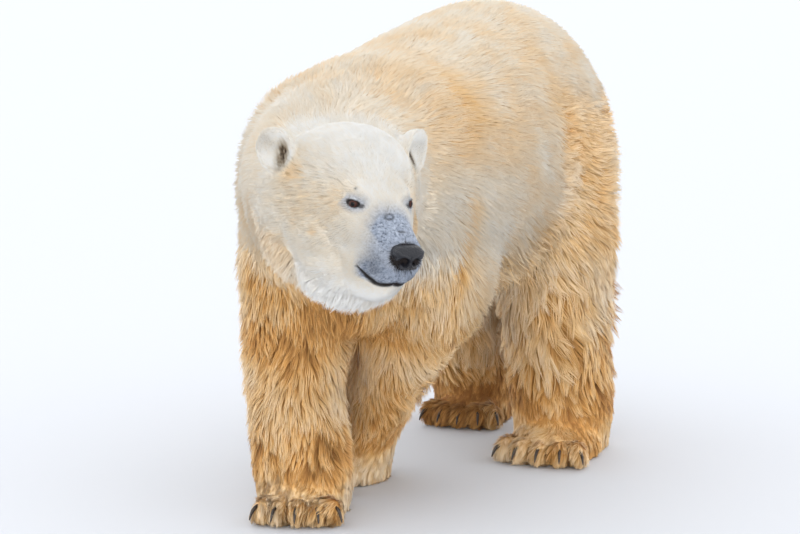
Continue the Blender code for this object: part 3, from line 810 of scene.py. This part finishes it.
def coat_at(where, normals):
    """The coat at places of the hide: length, width, lie, size of locks, and how far tufts lean into them."""
    x, y, z = in_head(where).T
    height, back = where[:, 2], where[:, 1]
    count = len(where)
    hind = ramp(back, 0.10, 0.25)
    leg = mix(ramp(height, 0.50, 0.34), ramp(height, 0.58, 0.38), hind)
    thigh = ramp(back, 0.06, 0.26) * ramp(height, 0.94, 0.78)
    chest = ramp(back, -0.12, -0.25) * ramp(height, 0.66, 0.54) * ramp(normals[:, 1], 0.0, -0.4)
    ankle = ramp(height, 0.28, 0.11)
    paw = ramp(height, 0.13, 0.07)
    belly = ramp(normals[:, 2], -0.2, -0.7) * ramp(height, 0.30, 0.40) * ramp(back, -0.12, 0.0)
    near_head = close_to(in_head(where), HEAD_MIDDLE, 0.20, 0.28)
    near_neck = (1 - ramp(back, -0.42, -0.22)) * (1 - leg)
    ruff = ramp(above_jaw(x, z), -0.125, -0.175) * ramp(x, 0.09, 0.0)
    muzzle = ramp(x, -0.08, 0.03)
    ear_gap = np.minimum(*(distance(where, at) for at in EARS.values()))
    eye_gap = np.minimum(*(distance(where, eye[0]) for eye in EYES.values()))
    near_ear = 1 - ramp(ear_gap, 0.042, 0.058)

    def over_body(sizes, *later):
        """A size mixed from back, thigh and legs, then from other parts in turn, each with its share."""
        above = mix(sizes["back"], sizes["thigh"], thigh)
        size = mix(above, mix(sizes["fore_leg"], sizes["hind_leg"], hind), leg)
        for part, share in later:
            size = mix(size, sizes[part], share)
        return size

    length = over_body(LENGTHS, ("chest", chest * (1 - leg)), ("belly", belly), ("ankle", ankle), ("paw", paw))
    snout = mix(LENGTHS["cheek"], LENGTHS["snout"], ramp(x, 0.02, 0.06))
    length = mix(length, mix(mix(LENGTHS["head"], snout, muzzle), LENGTHS["ruff"], ruff), near_head)
    length = mix(length, LENGTHS["ear"], near_ear)
    length = mix(length, LENGTHS["eyelid"], 1 - ramp(eye_gap, 0.016, 0.034))
    width = over_body(WIDTHS, ("ankle", ankle), ("paw", paw))
    width = mix(width, mix(mix(WIDTHS["head"], WIDTHS["muzzle"], muzzle), WIDTHS["ruff"], ruff), near_head)
    width = mix(width, WIDTHS["ear"], near_ear)
    locks = over_body(LOCKS, ("belly", belly), ("ankle", ankle))
    locks = mix(locks, mix(mix(LOCKS["head"], LOCKS["muzzle"], muzzle), LOCKS["ruff"], ruff), near_head)
    lean = over_body(LEANS, ("chest", chest), ("belly", belly), ("paw", paw))
    streaks = ramp(np.abs(y), 0.035, 0.080) * ramp(x, 0.03, -0.02) * ramp(z, 0.075, 0.03)
    streaks = streaks * (1 - 0.6 * ramp(above_jaw(x, z), -0.06, -0.10))
    head_lean = mix(mix(LEANS["head"], LEANS["streaks"], streaks), LEANS["muzzle"], ramp(x, -0.03, 0.05))
    lean = mix(lean, mix(head_lean, LEANS["ruff"], ruff), near_head)
    lean = lean * ramp(ear_gap, 0.045, 0.065) * ramp(eye_gap, 0.018, 0.035)

    lie = mix(np.tile(LIES["back"], (count, 1)), LIES["flank"], ramp(height, 0.85, 0.50) * (1 - thigh))
    for part, share in (("thigh", thigh), ("thigh_low", thigh * ramp(height, 0.66, 0.50)), ("leg", leg)):
        lie = mix(lie, LIES[part], share)
    lie = lie + normals * np.array((0.9, 0.3, 0.0)) * (leg * (1 - ankle))[:, None]
    lie = mix(lie, LIES["neck"], near_neck)
    lie = mix(lie, LIES["chest"], chest)
    on_top = np.clip(normals[:, 2], 0, 1)[:, None]
    toeward = paw_heading(where) * (0.25 + 0.9 * on_top) - np.array((0, 0, 0.9)) * (1 - 0.6 * on_top)
    lie = mix(lie, toeward, paw)
    aside = 0.25 * np.sign(y) * ramp(np.abs(y), 0.0, 0.05)
    face_lie = np.stack([-np.ones(count), aside, 0.05 - 0.42 * ramp(z, 0.13, -0.03)], axis=1)
    face_lie = mix(face_lie, LIES["ruff"], ruff)
    lie = mix(unit(lie), unit(face_lie) @ HEAD_AXES, near_head)
    sway = np.stack([ripple(where, 0.15, seed) for seed in (1, 2, 3)], axis=1)
    fine_sway = np.stack([ripple(where, 0.045, seed) for seed in (4, 5, 6)], axis=1)
    lie = lie + sway * mix(mix(0.16, 0.30, leg), 0.05, near_head)[:, None]
    lie = lie + fine_sway * mix(mix(0.07, 0.20, leg), mix(0.13, 0.05, ruff), near_head)[:, None]
    from_ear = np.stack([np.full(count, -0.35), 0.55 * np.sign(y), np.full(count, 0.75)], axis=1)
    lie = mix(lie, from_ear @ HEAD_AXES, near_ear)
    return length, width, lie, locks, lean


# Roots, spread over the hide as thickly as the tufts' size asks.
corners = corners_of(skin.data)
corner_uv = np.empty(len(skin.data.loops) * 2)
skin.data.uv_layers["OFBake"].data.foreach_get("uv", corner_uv)
corner_uv = corner_uv.reshape(-1, 3, 2)
skin_depth = np.empty(len(skin.data.vertices), np.float32)
skin.data.attributes["depth"].data.foreach_get("value", skin_depth)
one, two, three = (skin_at[corners[:, k]] for k in range(3))
facing = np.cross(two - one, three - one)
areas = np.linalg.norm(facing, axis=1) / 2
centres = (one + two + three) / 3
length, width = coat_at(centres, unit(facing))[:2]
near_face = close_to(in_head(centres), (0.0, 0, -0.05), 0.16, 0.28)
density = mix(1.0, 1.2, near_face) / (length * width) * (centres[:, 2] > 0.004)
density *= TUFTS / (areas * density).sum()
steps = (np.arange(TUFTS) + DRAWS.random(TUFTS)) / TUFTS * (areas * density).sum()
face_of = np.searchsorted(np.cumsum(areas * density), steps).clip(0, len(areas) - 1)
u, v = DRAWS.random((2, TUFTS))
u, v = np.where(u + v > 1, 1 - u, u), np.where(u + v > 1, 1 - v, v)
shares = np.stack([1 - u - v, u, v], axis=1)


def at_roots(values):
    """Values at the triangles' corners, read at the roots."""
    return (values * shares[:, :, None]).sum(1)


roots = at_roots(skin_at[corners[face_of]])
up = unit(at_roots(skin_normals[corners[face_of]]))
root_uv = at_roots(corner_uv[face_of])
reach = at_roots(skin_depth[corners[face_of]][:, :, None])[:, 0]
length, width, lie, locks, lean = coat_at(roots, up)
local = in_head(roots)
x, y, z = local.T
is_head = distance(local, HEAD_MIDDLE) < HEAD_RADIUS

# Rise: how far each tuft stands off the hide, in radians, enough for its tip to reach the coat's surface.
rise = np.arcsin(np.clip(1.10 * reach / length, 0.08, 0.75))
rise = np.where(is_head & (length < 0.034), np.minimum(rise, 0.36), rise)
rump = ramp(roots[:, 1], 0.30, 0.55) * ramp(roots[:, 2], 0.92, 0.80) * ramp(roots[:, 2], 0.25, 0.40)
hanging = ramp(up[:, 2], -0.15, -0.6) * ramp(roots[:, 2], 0.34, 0.40) * ramp(roots[:, 1], -0.02, 0.08)
under_head = is_head * ramp(z, -0.14, -0.19)
rise = rise + 0.28 * rump + 0.40 * hanging + 0.25 * under_head
length = length * DRAWS.uniform(0.75, 1.15, TUFTS)
width = width * DRAWS.uniform(0.8, 1.25, TUFTS)
lie = lie + DRAWS.normal(size=(TUFTS, 3)) * 0.12
lie = unit(lie - up * (lie * up).sum(1)[:, None])
angle = rise * DRAWS.uniform(0.65, 1.25, TUFTS)
forward = lie * np.cos(angle)[:, None] + up * np.sin(angle)[:, None]
tips = roots + forward * length[:, None]

# Locks: some tufts lead, and the others lean to the tip of the nearest. Distances along the hair count
# less than across it, so that locks are long and narrow; head, trunk and legs are kept apart.
ALONG_HAIR, ALONG_FACE_HAIR = 0.45, 0.30
is_leg = roots[:, 2] + 0.03 * ripple(roots, 0.05, 8) < 0.50
squeezed = roots * (1, ALONG_HAIR, 1) + (20, 0, 0)
squeezed = np.where(is_leg[:, None], roots * (1, 1, ALONG_HAIR) + (10, 0, 0), squeezed)
squeezed = np.where(is_head[:, None], local * (ALONG_FACE_HAIR, 1, 1), squeezed)
leads = np.flatnonzero(DRAWS.random(TUFTS) * density[face_of] * locks * locks < 0.45)
lead_tree = KDTree(len(leads))
for k, lead in enumerate(leads):
    lead_tree.insert(squeezed[lead], k)
lead_tree.balance()
found = [lead_tree.find(at)[1:] for at in squeezed]
leader = leads[np.array([k for k, gap in found])]
lead_gap = np.array([gap for k, gap in found]) / locks
edge = np.clip(lead_gap / 0.75, 0, 1) ** 2
lean = lean * (1 - 0.25 * edge) * (1 - 0.8 * ramp(lead_gap, 0.9, 1.5))
to_lead = tips[leader] - up[leader] * (length * np.sin(angle) * 0.15)[:, None] - tips
tips = tips + to_lead * lean[:, None]
curl = length * (0.13 * ripple(roots, 0.05, 7) + 0.03 * DRAWS.normal(size=TUFTS))
mids = roots + forward * (0.52 * length)[:, None] + up * (0.10 * length * np.sin(angle))[:, None]
mids = mids + to_lead * (lean * 0.42)[:, None] + np.cross(up, lie) * (curl * lean)[:, None]
tips[:, 2] = np.maximum(tips[:, 2], 0.001)
mids[:, 2] = np.maximum(mids[:, 2], 0.002)
straight = roots + (tips - roots) * 0.5 + up * (0.06 * length * np.sin(angle))[:, None]

# Shading: each tuft's own shade, mostly shared by its lock; normals that round each lock and turn a
# little to the light from above on hanging hair; painted shade in the gaps between locks and along furrows on
# the cheeks.
shade = DRAWS.random(TUFTS)
shade = 0.5 * shade + 0.5 * shade[leader]
from_lead = roots - roots[leader]
from_lead = from_lead - lie * (from_lead * lie).sum(1)[:, None]
from_lead = from_lead / np.maximum(np.linalg.norm(from_lead, axis=1), 0.8 * locks)[:, None]
sky = np.array((0.0, 0.0, 0.50)) * ramp(up[:, 2], -0.1, -0.6)[:, None]
bulge = up + from_lead * (0.30 * lean)[:, None] + sky
FURROW_WIDTH = 0.0060
cheek = ramp(np.abs(y), 0.035, 0.070) * ramp(x, 0.035, -0.01) * ramp(x, -0.21, -0.15)
cheek = cheek * ramp(z, 0.07, 0.03) * ramp(z, -0.13, -0.08)
# Furrows on the cheeks, about 6 mm apart, which take painted shade.
around = np.arctan2(z - 0.42 * (x + 0.08) + 0.05, np.abs(y)) * 0.11
around = around + 0.0036 * ripple(local * (0.6, 1, 1), 0.028, 9)
furrow_shade = ramp(np.sin(around * 2 * math.pi / FURROW_WIDTH), 0.35, 0.90)
furrow_shade = furrow_shade * ramp(ripple(local * (0.4, 1, 1), 0.018, 10), -0.5, 0.3)
# Painted shade in the gaps between locks, and on the head along the cheeks' furrows.
gap_shade = 0.42 * edge * ramp(lean, 0.15, 0.65)
gap_shade = np.where(is_head, np.maximum(0.5 * gap_shade, 0.70 * furrow_shade * cheek), gap_shade)
strands = np.stack([np.zeros(TUFTS), shade, gap_shade], axis=1)

# The two blades, as points (how far along, then sideways and up in half widths) and triangles.
LONG_BLADE = (
    (("root", -1, 0), ("root", 0, 0.9), ("root", 1, 0),
     ("middle", -0.8, 0), ("middle", 0, 0.9), ("middle", 0.8, 0), ("tip", 0, 0)),
    ((0, 3, 4), (0, 4, 1), (1, 4, 5), (1, 5, 2), (3, 6, 4), (4, 6, 5)))
SHORT_BLADE = (
    (("root", -1, 0), ("root", 1, 0), ("middle", 0, 0.7), ("tip", 0, 0)),
    ((0, 2, 1), (1, 2, 3), (0, 3, 2)))
ALONG = {"root": 0.0, "middle": 0.5, "tip": 1.0}
SUNK = 0.001  # how far the roots start under the hide

# Fur: dry, matt hairs with a faint sheen where they turn away, as light scatters inside their hollow cores.
fur = hide_and_hair("polar_bear_fur", Roughness=0.65, Sheen_Weight=0.15)
root_marks = markings(roots, up)


def grow(name, chosen, blade):
    """One coat piece of the chosen tufts, each a blade of the given kind."""
    points, triangles = blade
    bent = mids if blade is LONG_BLADE else straight
    spine = {"root": roots[chosen] - up[chosen] * SUNK, "middle": bent[chosen], "tip": tips[chosen]}
    across = unit(np.cross(up[chosen], tips[chosen] - roots[chosen]))
    half = width[chosen, None] / 2
    where = [spine[at] + across * half * aside + up[chosen] * half * high for at, aside, high in points]
    count, size = len(chosen), len(points)
    faces = (np.array(triangles)[None] + size * np.arange(count)[:, None, None]).reshape(-1, 3)
    coat = mesh_object(name, np.stack(where, axis=1).reshape(-1, 3), faces)
    patch = np.array([(aside, 2 * ALONG[at] - 1) for at, aside, high in points]) * PATCH_HALF_SIZE
    uv = (root_uv[chosen][:, None] + patch[None]).reshape(-1, 2)
    layer = coat.data.uv_layers.new(name="OFBake")
    layer.data.foreach_set("uv", uv[faces.ravel()].astype(np.float32).ravel())
    strand = np.repeat(strands[chosen], size, axis=0).reshape(count, size, 3)
    strand[:, :, 0] = [ALONG[at] for at, aside, high in points]
    marks_here, roots_here = (np.repeat(rows[chosen], size, axis=0) for rows in (root_marks, roots))
    keep_markings(coat.data, roots_here, marks_here, strand.reshape(-1, 3))
    coat.data.shade_smooth()
    rounded = np.stack([bulge[chosen] + across * 0.35 * aside for at, aside, high in points], axis=1)
    coat.data.normals_split_custom_set_from_vertices(unit(rounded.reshape(-1, 3)))
    coat.data.materials.append(fur)
    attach(coat, "root")


back, height = roots[:, 1], roots[:, 2]
long = ~is_head & (lean > 0.36 + 0.24 * DRAWS.random(TUFTS)) | (length > 0.034) & is_head
long_body, short_body = ~is_head & long, ~is_head & ~long
hind = back > 0.17
parts = (
    ("face", is_head & ~long & (x > -0.07), SHORT_BLADE),
    ("crown", is_head & ~long & ~(x > -0.07), SHORT_BLADE),
    ("ruff", is_head & long, LONG_BLADE),
    ("neck", short_body & (back < -0.30), SHORT_BLADE),
    ("shoulder", short_body & (back >= -0.30) & ~hind & (height > 0.20), SHORT_BLADE),
    ("rump", short_body & hind & (height > 0.20), SHORT_BLADE),
    ("paws", short_body & (height <= 0.20), SHORT_BLADE),
    ("fore_leg", long_body & ~hind, LONG_BLADE),
    ("thigh", long_body & hind & (height > 0.42), LONG_BLADE),
    ("hind_leg", long_body & hind & (height <= 0.42), LONG_BLADE),
)
for part, chosen, blade in parts:
    aside = y if part in ("face", "crown", "ruff") else roots[:, 0] - MIDLINE
    for side, on_side in (("left", aside > 0), ("right", aside <= 0)):
        grow(f"coat_{part}_{side}", np.flatnonzero(chosen & on_side), blade)


# Stage: a plain pale floor of matt paint, soft even light from all round, and one large lamp low in front,
# which draws the muzzle's shadows. The camera stands a little above the bear's head, ahead on its left.
CAMERA_AT, AIM_AT = Vector((2.839, -5.097, 1.527)), Vector((-0.017, -0.150, 0.520))
LAMP_AT, LAMP_AIM_AT = Vector((3.2, -6.5, 1.7)), Vector((0, 0, 0.6))
bpy.ops.object.camera_add(location=CAMERA_AT)
camera = bpy.context.object
camera.rotation_euler = (AIM_AT - CAMERA_AT).to_track_quat("-Z", "Y").to_euler()
camera.data.lens = 121.5
camera.data.sensor_width = 36
bpy.context.scene.camera = camera

bpy.ops.mesh.primitive_plane_add(size=120)
floor = bpy.context.object
floor.name = "floor"
paint = new_material("pale_studio_paint", Base_Color=srgb("#C9CCD1"), Roughness=0.9)[0]
floor.data.materials.append(paint)

bpy.ops.object.light_add(type="AREA", location=LAMP_AT)
lamp = bpy.context.object
lamp.data.energy = 74
lamp.data.size = 3
lamp.rotation_euler = (LAMP_AIM_AT - LAMP_AT).to_track_quat("-Z", "Y").to_euler()
world = bpy.context.scene.world or bpy.data.worlds.new("studio")
bpy.context.scene.world = world
world.use_nodes = True
daylight = world.node_tree.nodes["Background"]
daylight.inputs["Color"].default_value = (0.97, 0.98, 1.0, 1)
daylight.inputs["Strength"].default_value = 1.62

bpy.context.scene.view_settings.view_transform = "Standard"
bpy.context.view_layer.update()
